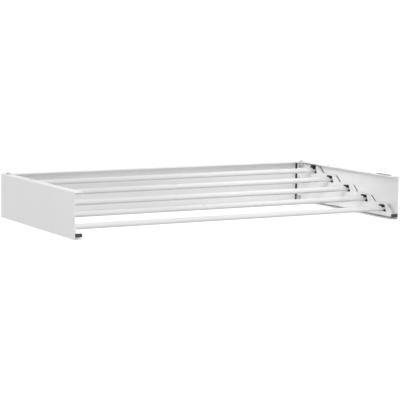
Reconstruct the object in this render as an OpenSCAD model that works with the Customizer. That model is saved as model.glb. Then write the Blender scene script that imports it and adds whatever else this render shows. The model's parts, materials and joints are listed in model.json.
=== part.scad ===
// Wall-mounted fold-down drying rack. Two white steel side panels carry five
// round bars on a stepped bracket each. They turn on two pins in hinge ears on
// a flanged back panel, which is screwed to the wall, and fold up flat against
// that wall. Heights are worked out from the bottom of the side panels and
// depths from their rear ends, then rack_frame() moves every piece so that the
// origin is the centre of the four wall holes, on the wall itself.
// +X is the right-hand side seen from the front and -Y points into the room.

/* [Frame] */
// Width over the two side panels
rack_w = 800; // [600:10:1000]
// Depth of the side panels, rear ends to front ends
rack_d = 400; // [395:1:430]
// Height of the panels
rack_h = 98; // [98:1:104]
// Thickness of the panels' sheet
sheet_t = 1.5; // [1:0.1:2]
// Width of the flanges along the top and the bottom
flange_w = 20; // [19:1:22]

/* [Bars] */
// Diameter of the bars
bar_d = 12; // [10:0.5:12]
// Wall of the bars' tube
bar_wall = 1; // [0.8:0.1:2]
// Depth of the first bar's centre line
bar_first = 55.5; // [54:0.5:58]
// Distance from the last bar's centre line to the front ends
bar_last = 51; // [50:0.5:55]
// Height of the first bar's centre line
bar_top = 80.5; // [80:0.5:82]
// How far each bar lies below the one behind it
bar_drop = 15; // [14:0.1:15]

/* [Side brackets] */
// Distance from a side panel's outer face to its bracket's inner face
bracket_in = 10; // [9:0.5:11]
// Thickness of the brackets' plate
bracket_t = 2; // [1.5:0.1:2.5]
// Height of each step's tread above the centre line of its bar
tread_rise = 12; // [11:0.5:12.5]
// Run of each sloping riser
riser_run = 19; // [15:1:22]

/* [Bottom rails] */
// Width of a bottom rail
rail_w = 10; // [9:0.5:12]
// Height of a bottom rail
rail_h = 8; // [7:0.5:8]
// Height of a bottom rail's underside
rail_z = 5; // [4:0.5:5]
// Wall of a bottom rail's tube
rail_wall = 1.2; // [0.8:0.1:1.5]

/* [Hinge and back panel] */
// Clear distance from the wall to the side panels' rear ends
wall_gap = 6; // [6:0.5:7]
// Depth of the hinge line
pivot_d = 9; // [8.5:0.5:9.5]
// Height of the hinge line
pivot_h = 93; // [92:0.5:93]
// Radius of the hinge pins
pin_r = 2.5; // [2:0.1:2.5]
// Radial clearance between a pin and its bush
pin_clear = 0.05; // [0.02:0.01:0.1]
// Radius of the hinge ears about the hinge line
ear_r = 7.5; // [7:0.1:7.5]
// Distance between the wall holes across the back panel
hole_dx = 730; // [400:10:730]
// Distance between the wall holes up the back panel
hole_dz = 55; // [40:1:60]
// Radius of the wall holes
hole_r = 2.75; // [2:0.25:3.5]

/* [Hidden] */
side_pieces = ["side_panel", "stepped_bracket", "bottom_rail", "rail_plug", "bracket_standoffs",
  "flange_bumper", "pivot_pin", "pin_clip", "pivot_bush", "hinge_ear", "stop_strip"];
$fn = 48;
white = "white";
black = "#26272a";
steel = "#b9bcc0";
eps = 0.01;
over = 1;

bars = 5;
bar_r = bar_d / 2;
bar_pitch = (rack_d - bar_first - bar_last) / (bars - 1);
half_w = rack_w / 2;
web_in = half_w - sheet_t;
flange_in = half_w - flange_w;
bracket_x = half_w - bracket_in;
bracket_out = bracket_x + bracket_t;
hole_mid = rack_h / 2;

// Side brackets: margins behind, in front of and below the bars
bracket_back = 0;
bracket_front = 387;
bracket_bottom = rail_z + rail_h;
riser_ahead = 18.5;
riser_lip = 4;
lip_set = 0.3;
lug_end = 14;
lug_slope = 3;
lug_gap = 0.3;
nose_r = 9;
rear_flange_w = 10.5;
rear_flange_top = 82;
rear_tab_w = 3.2;

// Openings for the bars, with a front edge parallel to the risers
opening_back = 9.5;
opening_front = 12;
opening_below = 6.5;
opening_cover = 3;
opening_slope = 5;

// Bar sockets: a saddle over the bar, a strap behind it, a cradle under it and a web
socket_play = 0.15;
socket_in = 4;
socket_out = 0.5;
socket_back = 5.5;
socket_front = 6.5;
socket_low = 3;
strap_back = 7.2;
strap_top = 5.5;
socket_wall = 1.1;
cradle_top = 2;
web_t = 2;
web_gap = 0.2;
web_set = 0.6;
web_ahead = 8;
bar_play = 0.3;
bar_end = web_in - bar_play;

// Hinge: each ear is a plate on a foot, with a finger that rises above the flanges
ear_t = 6;
ear_x = 383;
arm_below = 7.5;
arm_above = 2.5;
finger_r = 4;
finger_back = 1;
finger_up = 4.5;
foot_out = 396;
foot_t = 1.5;
foot_z = [84, 96];
bush_wall = 1.5;
bush_lip_r = 5;
bush_lip_t = 0.5;
pin_head_r = 3.2;
pin_head_t = 2;
clip_t = 1;
clip_r = 4.2;
clip_play = 0.4;
pin_tip = 0.4;
notch_d = 19;

// Back panel and the rubber strips that the stepped brackets come to rest on
web_front = sheet_t - wall_gap;
panel_play = 0.5;
panel_half = web_in - panel_play;
corner_gap = 0.8;
hem_w = 10;
stop_play = 0.3;
stop_relief = 1;
strip_in = 377;
strip_out = 397.5;
strip_lip = 2.5;
strip_bottom = bracket_bottom + stop_play;
strip_shoulder = 80;
strip_top = rack_h - sheet_t - stop_play;

// Small pieces
rail_back = 3;
rail_front = 3;
plug_w = 16;
plug_tail = 12;
plug_play = 0.2;
plug_corner = 2;
standoff_r = 4;
catch_x = 389;
catch_w = 6;
catch_l = 50;
catch_t = 1.6;
catch_d = 351;
bumper_x = 383.5;
bumper_d = 134;
bumper_r = 3.5;
bumper_h = 2.6;

function bar_y(i) = bar_first + (i - 1) * bar_pitch;
function bar_z(i) = bar_top - (i - 1) * bar_drop;
function tread_z(i) = bar_z(i) + tread_rise;
function riser_y(i) = bar_y(i) + riser_ahead;

// Heights from the wall holes' centre, depths from the wall
module rack_frame() {
  translate([0, -wall_gap, -hole_mid])
    children();
}

// The right side as drawn, or its mirror image for the left side
module on_side(side) {
  rack_frame()
    mirror([side < 0 ? 1 : 0, 0, 0])
      children();
}

// A plate across X from an outline drawn as depth and height
module plate_x(x, t) {
  translate([x + t, 0, 0])
    rotate([90, 0, -90])
      linear_extrude(t)
        children();
}

// A round piece along X between x0 and x1, at depth d and height z
module round_x(r, x0, x1, d, z) {
  translate([x0, -d, z])
    rotate([0, 90, 0])
      cylinder(r = r, h = x1 - x0);
}

// A block given by its X, depth and height limits
module block(x, d, z) {
  translate([x[0], -d[1], z[0]])
    cube([x[1] - x[0], d[1] - d[0], z[1] - z[0]]);
}

// Wall panel with a wide flange along the top and a hem along the bottom
module back_panel() {
  flange_half = flange_in - corner_gap;
  color(white)
    rack_frame()
      difference() {
        union() {
          block([-panel_half, panel_half], [-wall_gap, web_front], [0, rack_h]);
          block([-flange_half, flange_half], [-wall_gap, flange_w], [rack_h - sheet_t, rack_h]);
          block([-flange_half, flange_half], [-wall_gap, hem_w], [0, sheet_t]);
        }
        for (x = [-hole_dx / 2, hole_dx / 2])
          for (z = [hole_mid - hole_dz / 2, hole_mid + hole_dz / 2])
            translate([x, wall_gap + over, z])
              rotate([90, 0, 0])
                cylinder(r = hole_r, h = sheet_t + 2 * over);
      }
}

// Folded side panel; a notch in its top flange clears the hinge ear
module side_panel(side) {
  color(white)
    on_side(side)
      difference() {
        union() {
          block([web_in, half_w], [0, rack_d], [0, rack_h]);
          block([flange_in, web_in], [0, rack_d], [rack_h - sheet_t, rack_h]);
          block([flange_in, web_in], [0, rack_d], [0, sheet_t]);
        }
        block([flange_in - eps, bracket_x], [-eps, notch_d], [rack_h - 2 * sheet_t, rack_h + eps]);
      }
}

// Outline of a bracket's steps, from the rear lug to the rounded nose
module steps_outline() {
  treads = [for (i = [1 : bars]) each [
    [riser_y(i), tread_z(i)],
    [riser_y(i) + riser_run, tread_z(i + 1)]
  ]];
  lug = [[bracket_back, rack_h - sheet_t - lug_gap], [lug_end, rack_h - sheet_t - lug_gap],
    [lug_end + lug_slope, tread_z(1)]];
  intersection() {
    polygon(concat([[bracket_back, bracket_bottom]], lug, treads,
      [[bracket_front + nose_r, bracket_bottom]]));
    union() {
      square([bracket_front - nose_r, rack_h]);
      square([bracket_front, bracket_bottom + nose_r]);
      translate([bracket_front - nose_r, bracket_bottom + nose_r])
        circle(nose_r);
    }
  }
}

// Top of one bar's opening: the first is open to the tread above it
function opening_top(i) = i == 1 ? tread_z(1) + over : tread_z(i) - opening_cover;

module opening_outline(i) {
  lo = bar_z(i) - opening_below;
  back = bar_y(i) - opening_back;
  front = bar_y(i) + opening_front;
  polygon([[back, lo], [front + opening_slope, lo], [front, opening_top(i)], [back, opening_top(i)]]);
}

// Flange along one tread, turned out towards the side panel
module tread_flange(i) {
  start = i == 1 ? lug_end + lug_slope : riser_y(i - 1) + riser_run;
  block([bracket_x, web_in - lug_gap], [start, riser_y(i) - bracket_t / 4],
    [tread_z(i) - bracket_t, tread_z(i)]);
}

// Lip along one riser, set just behind its edge; it stops short of the side panel
module riser_lip(i) {
  hi = tread_z(i) - lip_set;
  lo = tread_z(i + 1) - bracket_t / 2;
  front_hi = riser_y(i) - lip_set;
  front_lo = front_hi + (hi - lo) * riser_run / bar_drop;
  plate_x(bracket_x + lip_set, bracket_t + riser_lip)
    polygon([[front_hi, hi], [front_lo, lo], [front_lo - bracket_t, lo], [front_hi - bracket_t, hi]]);
}

module stepped_bracket(side) {
  flange_x = bracket_x - rear_flange_w;
  color(white)
    on_side(side)
      difference() {
        union() {
          plate_x(bracket_x, bracket_t)
            steps_outline();
          for (i = [1 : bars])
            tread_flange(i);
          for (i = [1 : bars - 1])
            riser_lip(i);
          block([flange_x, bracket_x], [bracket_back, bracket_back + bracket_t],
            [bracket_bottom, rear_flange_top]);
          block([flange_x, flange_x + rear_tab_w], [bracket_back, bracket_back + bracket_t],
            [bracket_bottom, rack_h - sheet_t - lug_gap]);
        }
        for (i = [1 : bars])
          plate_x(bracket_x - eps, half_w - bracket_x)
            opening_outline(i);
        round_x(pin_r, bracket_x - over, bracket_out + over, pivot_d, pivot_h);
      }
}

// Web of a socket: it reaches forward inside the bracket and closes the gap beside the riser
module socket_web(i) {
  head = tread_z(i) - bracket_t - lug_gap;
  heel = tread_z(i + 1) + lug_gap;
  edge = riser_y(i) - web_set;
  slope = riser_run / bar_drop;
  plate_x(web_in - web_gap - web_t, web_t)
    polygon([[bar_y(i), bar_z(i) - bar_r - socket_wall], [edge + (tread_z(i) - heel) * slope, heel],
      [edge + (tread_z(i) - head) * slope, head], [bar_y(i) + web_ahead, bar_z(i) + socket_low]]);
}

module bar_socket(side, i) {
  outer_r = bar_r + socket_wall;
  lo = bar_z(i) - outer_r;
  saddle_x = [bracket_x - socket_in, bracket_out + socket_out];
  color(black)
    on_side(side)
      difference() {
        union() {
          block(saddle_x, [bar_y(i) - socket_back, bar_y(i) + socket_front],
            [bar_z(i) + socket_low, min(opening_top(i), tread_z(i)) - socket_play]);
          block([saddle_x[0], web_in], [bar_y(i) - strap_back, bar_y(i) - bar_r / 2],
            [bar_z(i) - cradle_top, bar_z(i) + strap_top]);
          if (i < bars)
            socket_web(i);
          intersection() {
            round_x(outer_r, bracket_out + socket_play, web_in, bar_y(i), bar_z(i));
            block([bracket_out, web_in], [bar_y(i) - outer_r, bar_y(i) + outer_r],
              [lo, bar_z(i) - cradle_top]);
          }
        }
        round_x(bar_r, saddle_x[0] - over, half_w, bar_y(i), bar_z(i));
      }
}

module bar(i) {
  color(white)
    rack_frame()
      difference() {
        round_x(bar_r, -bar_end, bar_end, bar_y(i), bar_z(i));
        round_x(bar_r - bar_wall, -bar_end - over, bar_end + over, bar_y(i), bar_z(i));
      }
}

module bottom_rail(side) {
  color(white)
    on_side(side)
      difference() {
        block([web_in - rail_w, web_in], [rail_back, rack_d - rail_front], [rail_z, bracket_bottom]);
        block([web_in - rail_w + rail_wall, web_in - rail_wall], [rail_back - over, rack_d],
          [rail_z + rail_wall, bracket_bottom - rail_wall]);
      }
}

// End plug: a rounded cap wider than the rail, and a tail inside it
module rail_plug(side) {
  wall_play = rail_wall + plug_play;
  cap_d = [rack_d - rail_front, rack_d];
  color(black)
    on_side(side) {
      block([web_in - plug_w + plug_corner, web_in - plug_corner], cap_d, [rail_z, bracket_bottom]);
      for (x = [web_in - plug_w + plug_corner, web_in - plug_corner])
        for (z = [rail_z + plug_corner, bracket_bottom - plug_corner])
          translate([x, -cap_d[0], z])
            rotate([90, 0, 0])
              cylinder(r = plug_corner, h = rail_front);
      block([web_in - plug_w, web_in], cap_d, [rail_z + plug_corner, bracket_bottom - plug_corner]);
      block([web_in - rail_w + wall_play, web_in - wall_play], [cap_d[0] - plug_tail, cap_d[0] + eps],
        [rail_z + wall_play, bracket_bottom - wall_play]);
    }
}

// Round spacers that hold a bracket off its side panel, between the bars
module bracket_standoffs(side) {
  color(steel)
    on_side(side)
      for (i = [1 : bars - 1])
        round_x(standoff_r, bracket_out, web_in, bar_y(i) + bar_pitch / 2,
          (tread_z(i + 1) + bracket_bottom) / 2);
}

module catch_plate() {
  color(steel)
    rack_frame()
      block([catch_x, catch_x + catch_w], [catch_d - catch_l / 2, catch_d + catch_l / 2],
        [rack_h, rack_h + catch_t]);
}

module flange_bumper(side) {
  sphere_r = (bumper_r * bumper_r + bumper_h * bumper_h) / (2 * bumper_h);
  color(white)
    on_side(side)
      intersection() {
        translate([bumper_x, -bumper_d, rack_h + bumper_h - sphere_r])
          sphere(r = sphere_r);
        translate([bumper_x, -bumper_d, rack_h])
          cylinder(r = bumper_r + over, h = bumper_h + over);
      }
}

module pivot_pin(side) {
  clip_x = ear_x - clip_play;
  color(steel)
    on_side(side) {
      round_x(pin_r, clip_x - clip_t - pin_tip, bracket_out, pivot_d, pivot_h);
      round_x(pin_head_r, bracket_out, bracket_out + pin_head_t, pivot_d, pivot_h);
    }
}

module pin_clip(side) {
  clip_x = ear_x - clip_play;
  color(steel)
    on_side(side)
      difference() {
        round_x(clip_r, clip_x - clip_t, clip_x, pivot_d, pivot_h);
        round_x(pin_r, clip_x - clip_t - over, clip_x + over, pivot_d, pivot_h);
      }
}

module pivot_bush(side) {
  color(white)
    on_side(side)
      difference() {
        union() {
          round_x(pin_r + bush_wall, ear_x, ear_x + ear_t, pivot_d, pivot_h);
          round_x(bush_lip_r, ear_x + ear_t, ear_x + ear_t + bush_lip_t, pivot_d, pivot_h);
        }
        round_x(pin_r + pin_clear, ear_x - over, bracket_x + over, pivot_d, pivot_h);
      }
}

module hinge_ear(side) {
  color(steel)
    on_side(side)
      difference() {
        union() {
          plate_x(ear_x, ear_t) {
            translate([pivot_d, pivot_h])
              circle(ear_r);
            translate([pivot_d - finger_back, pivot_h + finger_up])
              circle(finger_r);
            translate([pivot_d - finger_back - finger_r, pivot_h])
              square([2 * finger_r, finger_up]);
            translate([web_front, pivot_h - arm_below])
              square([pivot_d - web_front, arm_below + arm_above]);
          }
          block([ear_x, foot_out], [web_front, web_front + foot_t], foot_z);
        }
        round_x(pin_r + bush_wall, ear_x - over, ear_x + ear_t + over, pivot_d, pivot_h);
      }
}

module stop_strip(side) {
  color(black)
    on_side(side) {
      block([strip_in, strip_out], [web_front, -stop_play], [strip_bottom, strip_shoulder]);
      block([strip_in, strip_in + strip_lip], [web_front, -stop_relief],
        [sheet_t + stop_play, strip_top]);
    }
}

// Draws one of a side's pieces by its name
module side_piece(name, side) {
  if (name == "side_panel") side_panel(side);
  if (name == "stepped_bracket") stepped_bracket(side);
  if (name == "bottom_rail") bottom_rail(side);
  if (name == "rail_plug") rail_plug(side);
  if (name == "bracket_standoffs") bracket_standoffs(side);
  if (name == "flange_bumper") flange_bumper(side);
  if (name == "pivot_pin") pivot_pin(side);
  if (name == "pin_clip") pin_clip(side);
  if (name == "pivot_bush") pivot_bush(side);
  if (name == "hinge_ear") hinge_ear(side);
  if (name == "stop_strip") stop_strip(side);
}

back_panel();
catch_plate();
for (i = [1 : bars])
  bar(i);
for (name = side_pieces) {
  side_piece(name, -1);
  side_piece(name, 1);
}
for (i = [1 : bars]) {
  bar_socket(-1, i);
  bar_socket(1, i);
}
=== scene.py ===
"""Looks of the wall-mounted fold-down drying rack: white powder-coated sheet and tube, black sockets.

Lengths are metres in the frame of the CAD part: +X along the bars, -Y into the room, +Z up.
"""
import json
import math

import bpy
from mathutils import Matrix, Vector

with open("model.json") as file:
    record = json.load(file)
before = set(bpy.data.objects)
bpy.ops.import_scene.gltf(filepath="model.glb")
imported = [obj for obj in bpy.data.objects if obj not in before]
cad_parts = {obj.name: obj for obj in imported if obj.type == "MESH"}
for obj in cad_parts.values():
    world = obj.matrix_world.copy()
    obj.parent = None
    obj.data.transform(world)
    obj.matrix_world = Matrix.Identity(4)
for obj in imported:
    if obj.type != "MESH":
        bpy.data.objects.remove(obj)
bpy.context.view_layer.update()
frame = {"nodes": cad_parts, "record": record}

# Camera: a long lens at the left, a little above the rack
SENSOR = 36.0
LENS = 146.7
CAMERA_AT = Vector((-1.745, -3.402, 0.423))
CAMERA_YAW = math.radians(28.61)
CAMERA_PITCH = math.radians(6.74)
CAMERA_ROLL = math.radians(0.57)

# Floor: reflecting tone, and a painted glow that grows over these distances from the rack, so the floor
# is darker with painted shade under the rack
FLOOR_Z = -1.3
FLOOR_HALF = 30.0
FLOOR_TONE = 0.38
FLOOR_ROUGHNESS = 0.9
FLOOR_PAINTED_GLOW = 0.8
FLOOR_FADE = (2.0, 3.1)

# Room: level plus slope along X, Y and Z, held under a limit; white up to the band above the horizon
ROOM_LEVEL = 0.73
ROOM_SLOPE = (0.62, 0.12, 0.36)
ROOM_LIMIT = 1.04
HORIZON_BAND = (0.1, 0.24)

# Soft lights: place, target, size, power in watts, spread
LIGHTS = {
    "inner": ((-0.33, -1.5, 0.75), (0.2, -0.2, 0), (0.7, 0.5), 3.1, math.pi),
    "right_fill": ((-0.37, -0.5, 0.42), (0.4, -0.08, 0), (0.3, 0.25), 0.2, math.radians(40)),
}

# Edge rounding of each slot's nodes
EDGE_RADIUS = {
    "frame_white": 0.0005,
    "bar_white": 0.0003,
    "inner_steel": 0.0004,
    "bumper_white": 0.0002,
    "socket_plastic": 0.0004,
    "plug_plastic": 0.0008,
    "bush_plastic": 0.0002,
    "stop_rubber": 0.0008,
    "ear_alloy": 0.0008,
    "pin_steel": 0.0003,
    "catch_steel": 0.0005,
}
EDGE_SEGMENTS = 3
EDGE_ANGLE = math.radians(40)
WELD_DISTANCE = 1e-6
FLAT_ANGLE = math.radians(0.5)
NORMAL_WEIGHT = 100

# Slots whose faces are curved all over, so none are joined before the bevel
DOMED = {"bumper_white"}

# The part of a noise's range that roughness follows
GLOSS_NOISE = (0.3, 0.7)


# ---------------------------------------------------------------- materials

def new_material(name):
    """A node material, its Principled shader and its object coordinates."""
    mat = bpy.data.materials.new(name)
    mat.use_nodes = True
    tree = mat.node_tree
    coords = add(tree, "ShaderNodeTexCoord").outputs["Object"]
    return mat, tree, tree.nodes["Principled BSDF"], coords


def add(tree, kind, inputs=None, **settings):
    node = tree.nodes.new(kind)
    for key, value in settings.items():
        setattr(node, key, value)
    for key, value in (inputs or {}).items():
        node.inputs[key].default_value = value
    return node


def ramp(tree, source, low, high, value_low, value_high):
    """Maps source from low..high to value_low..value_high."""
    node = add(tree, "ShaderNodeMapRange", {
        "From Min": low, "From Max": high, "To Min": value_low, "To Max": value_high})
    tree.links.new(source, node.inputs["Value"])
    return node.outputs["Result"]


def noise(tree, coords, scale, detail, rough=0.5):
    node = add(tree, "ShaderNodeTexNoise", {"Scale": scale, "Detail": detail, "Roughness": rough})
    tree.links.new(coords, node.inputs["Vector"])
    return node.outputs["Fac"]


def bump(tree, height, strength, distance, under=None):
    """A bump's normal, on top of another bump's where one is given."""
    node = add(tree, "ShaderNodeBump", {"Strength": strength, "Distance": distance})
    tree.links.new(height, node.inputs["Height"])
    if under:
        tree.links.new(under, node.inputs["Normal"])
    return node.outputs["Normal"]


def surface(tree, shader, tint, tint_span, colour, shade, gloss, gloss_span, normal):
    """Colour that clouds towards shade with one noise, roughness that follows another, and a normal."""
    node = add(tree, "ShaderNodeMix", data_type="RGBA")
    node.inputs["A"].default_value = (*colour, 1.0)
    node.inputs["B"].default_value = (*shade, 1.0)
    tree.links.new(ramp(tree, tint, *tint_span, 0.0, 1.0), node.inputs["Factor"])
    tree.links.new(node.outputs["Result"], shader.inputs["Base Color"])
    tree.links.new(ramp(tree, gloss, *GLOSS_NOISE, *gloss_span), shader.inputs["Roughness"])
    tree.links.new(normal, shader.inputs["Normal"])


def powder_coat(name, colour, shade, grain=1500.0, gloss=0.34):
    """Semi-gloss powder coat: fine orange peel on broader waves, and faint clouding."""
    mat, tree, shader, coords = new_material(name)
    cloud = noise(tree, coords, scale=9.0, detail=4.0)
    peel = bump(tree, noise(tree, coords, scale=grain, detail=2.0), strength=0.10, distance=0.00006)
    waves = bump(tree, noise(tree, coords, scale=grain / 6, detail=2.0),
                 strength=0.12, distance=0.0002, under=peel)
    surface(tree, shader, cloud, (0.35, 0.65), colour, shade, cloud, (gloss - 0.04, gloss + 0.06), waves)
    shader.inputs["Coat Weight"].default_value = 0.15
    shader.inputs["Coat Roughness"].default_value = 0.25
    return mat


def moulded_plastic(name, colour, shade, gloss=0.45):
    """Moulded plastic with a spark-eroded grain and slightly worn high spots."""
    mat, tree, shader, coords = new_material(name)
    cloud = noise(tree, coords, scale=60.0, detail=3.0)
    grain = bump(tree, noise(tree, coords, scale=2600.0, detail=2.0), strength=0.25, distance=0.0001)
    surface(tree, shader, cloud, (0.4, 0.65), colour, shade, cloud, (gloss - 0.06, gloss + 0.08), grain)
    return mat


def rubber(name, colour, shade):
    """Matt rubber with a dusty bloom."""
    mat, tree, shader, coords = new_material(name)
    dust = noise(tree, coords, scale=180.0, detail=5.0, rough=0.65)
    grain = bump(tree, dust, strength=0.3, distance=0.00015)
    surface(tree, shader, dust, (0.45, 0.75), colour, shade, dust, (0.75, 0.92), grain)
    return mat


def brushed_steel(name, colour, shade, stretch):
    """Zinc-plated steel with turning or brushing lines along one axis."""
    mat, tree, shader, coords = new_material(name)
    squeeze = add(tree, "ShaderNodeVectorMath", operation="MULTIPLY")
    squeeze.inputs[1].default_value = stretch
    tree.links.new(coords, squeeze.inputs[0])
    lines = noise(tree, squeeze.outputs["Vector"], scale=1200.0, detail=3.0)
    stain = noise(tree, coords, scale=90.0, detail=4.0)
    grain = bump(tree, lines, strength=0.15, distance=0.00004)
    surface(tree, shader, stain, (0.35, 0.7), colour, shade, lines, (0.24, 0.42), grain)
    shader.inputs["Metallic"].default_value = 1.0
    return mat


def cast_alloy(name, colour, shade):
    """Satin grey die-cast alloy with a fine blasted grain."""
    mat, tree, shader, coords = new_material(name)
    cloud = noise(tree, coords, scale=140.0, detail=4.0)
    grain = bump(tree, noise(tree, coords, scale=2200.0, detail=2.0), strength=0.2, distance=0.00008)
    surface(tree, shader, cloud, (0.35, 0.65), colour, shade, cloud, (0.38, 0.5), grain)
    return mat


WHITE = (0.875, 0.875, 0.88)
WHITE_SHADE = (0.86, 0.86, 0.865)
BAR_WHITE = (0.81, 0.81, 0.815)
BAR_SHADE = (0.795, 0.795, 0.8)

MATERIALS = {
    "frame_white": powder_coat("frame_white", WHITE, WHITE_SHADE),
    "bar_white": powder_coat("bar_white", BAR_WHITE, BAR_SHADE, grain=1800.0, gloss=0.30),
    "inner_steel": powder_coat("inner_steel", WHITE_SHADE, WHITE, gloss=0.4),
    "bumper_white": moulded_plastic("bumper_white", (0.72, 0.72, 0.71), (0.66, 0.66, 0.65)),
    "socket_plastic": moulded_plastic("socket_plastic", (0.012, 0.012, 0.013), (0.022, 0.022, 0.023)),
    "plug_plastic": moulded_plastic("plug_plastic", (0.03, 0.03, 0.032), (0.05, 0.05, 0.052)),
    "bush_plastic": moulded_plastic("bush_plastic", (0.72, 0.72, 0.71), (0.68, 0.68, 0.67), 0.35),
    "stop_rubber": rubber("stop_rubber", (0.02, 0.02, 0.02), (0.05, 0.05, 0.048)),
    "ear_alloy": cast_alloy("ear_alloy", (0.62, 0.62, 0.63), (0.56, 0.56, 0.57)),
    "pin_steel": brushed_steel("pin_steel", (0.92, 0.92, 0.92), (0.86, 0.86, 0.86), (0.05, 1.0, 1.0)),
    "catch_steel": brushed_steel("catch_steel", (0.42, 0.42, 0.43), (0.36, 0.36, 0.37), (1.0, 0.05, 1.0)),
}


# ------------------------------------------------------------- CAD's pieces

def bevel(obj, width, flatten):
    """Rounds a CAD node's sharp edges, as folding and coating do, with modifiers only.

    Flat faces are joined first, so that the bevel meets no thin triangles around holes.
    """
    weld = obj.modifiers.new("weld", "WELD")
    weld.merge_threshold = WELD_DISTANCE
    if flatten:
        flat = obj.modifiers.new("flat", "DECIMATE")
        flat.decimate_type = "DISSOLVE"
        flat.angle_limit = FLAT_ANGLE
    edge = obj.modifiers.new("edge", "BEVEL")
    edge.width = width
    edge.segments = EDGE_SEGMENTS
    edge.limit_method = "ANGLE"
    edge.angle_limit = EDGE_ANGLE
    normals = obj.modifiers.new("normals", "WEIGHTED_NORMAL")
    normals.weight = NORMAL_WEIGHT
    normals.keep_sharp = True


def dress_nodes():
    """Gives every CAD node its slot's material and its edge radius."""
    slots = {s["node"]: s["material_slot"] for s in frame["record"]["subparts"]}
    for name, obj in frame["nodes"].items():
        slot = slots[name]
        obj.data.materials.clear()
        obj.data.materials.append(MATERIALS[slot])
        bevel(obj, EDGE_RADIUS[slot], slot not in DOMED)


# -------------------------------------------------------------------- stage

def floor():
    """A floor well below the rack, made pale away from it by a painted glow that grows with distance, and
    left darker under the rack as painted shade.
    """
    mesh = bpy.data.meshes.new("floor")
    corners = [(x * FLOOR_HALF, y * FLOOR_HALF, 0) for x, y in ((-1, -1), (1, -1), (1, 1), (-1, 1))]
    mesh.from_pydata(corners, [], [(0, 1, 2, 3)])
    obj = bpy.data.objects.new("floor", mesh)
    obj.location.z = FLOOR_Z
    bpy.context.collection.objects.link(obj)
    mat, tree, shader, coords = new_material("floor")
    shader.inputs["Base Color"].default_value = (FLOOR_TONE, FLOOR_TONE, FLOOR_TONE, 1.0)
    shader.inputs["Roughness"].default_value = FLOOR_ROUGHNESS
    shader.inputs["Emission Color"].default_value = (1.0, 1.0, 1.0, 1.0)
    # Painted glow: the floor emits light that grows with distance from the rack, so it looks white far
    # off and is darker, with painted shade, under the rack
    away = add(tree, "ShaderNodeVectorMath", operation="LENGTH")
    tree.links.new(coords, away.inputs[0])
    painted_glow = ramp(tree, away.outputs["Value"], *FLOOR_FADE, 0.0, FLOOR_PAINTED_GLOW)
    tree.links.new(painted_glow, shader.inputs["Emission Strength"])
    mesh.materials.append(mat)


def area_light(name, place, target, size, power, spread):
    data = bpy.data.lights.new(name, "AREA")
    data.shape = "RECTANGLE"
    data.size, data.size_y = size
    data.energy = power
    data.spread = spread
    obj = bpy.data.objects.new(name, data)
    obj.location = place
    obj.rotation_euler = (Vector(target) - Vector(place)).to_track_quat("-Z", "Y").to_euler()
    bpy.context.collection.objects.link(obj)


def studio():
    """A room that is white at the horizon and brighter to the right, one soft light into the open
    front and a narrow one from above the left panel onto the inside of the right one."""
    world = bpy.data.worlds.new("studio")
    world.use_nodes = True
    tree = world.node_tree
    direction = add(tree, "ShaderNodeTexCoord").outputs["Generated"]
    slope = add(tree, "ShaderNodeVectorMath", operation="DOT_PRODUCT")
    slope.inputs[1].default_value = ROOM_SLOPE
    tree.links.new(direction, slope.inputs[0])
    level = add(tree, "ShaderNodeMath", operation="ADD")
    level.inputs[1].default_value = ROOM_LEVEL
    tree.links.new(slope.outputs["Value"], level.inputs[0])
    height = add(tree, "ShaderNodeSeparateXYZ")
    tree.links.new(direction, height.inputs["Vector"])
    lit = add(tree, "ShaderNodeMath", operation="MAXIMUM")
    tree.links.new(level.outputs["Value"], lit.inputs[0])
    tree.links.new(ramp(tree, height.outputs["Z"], *HORIZON_BAND, 1.0, 0.0), lit.inputs[1])
    even = add(tree, "ShaderNodeMath", operation="MINIMUM")
    even.inputs[1].default_value = ROOM_LIMIT
    tree.links.new(lit.outputs["Value"], even.inputs[0])
    tree.links.new(even.outputs["Value"], tree.nodes["Background"].inputs["Strength"])
    tree.nodes["Background"].inputs["Color"].default_value = (1.0, 1.0, 1.0, 1.0)
    bpy.context.scene.world = world
    for name, light in LIGHTS.items():
        area_light(name, *light)
    bpy.context.scene.view_settings.view_transform = "Standard"


def camera():
    data = bpy.data.cameras.new("camera")
    data.sensor_width = SENSOR
    data.lens = LENS
    obj = bpy.data.objects.new("camera", data)
    obj.matrix_world = (Matrix.Translation(CAMERA_AT)
                        @ Matrix.Rotation(-CAMERA_YAW, 4, "Z")
                        @ Matrix.Rotation(math.pi / 2 - CAMERA_PITCH, 4, "X")
                        @ Matrix.Rotation(CAMERA_ROLL, 4, "Z"))
    bpy.context.collection.objects.link(obj)
    bpy.context.scene.camera = obj


camera()
studio()
floor()
dress_nodes()
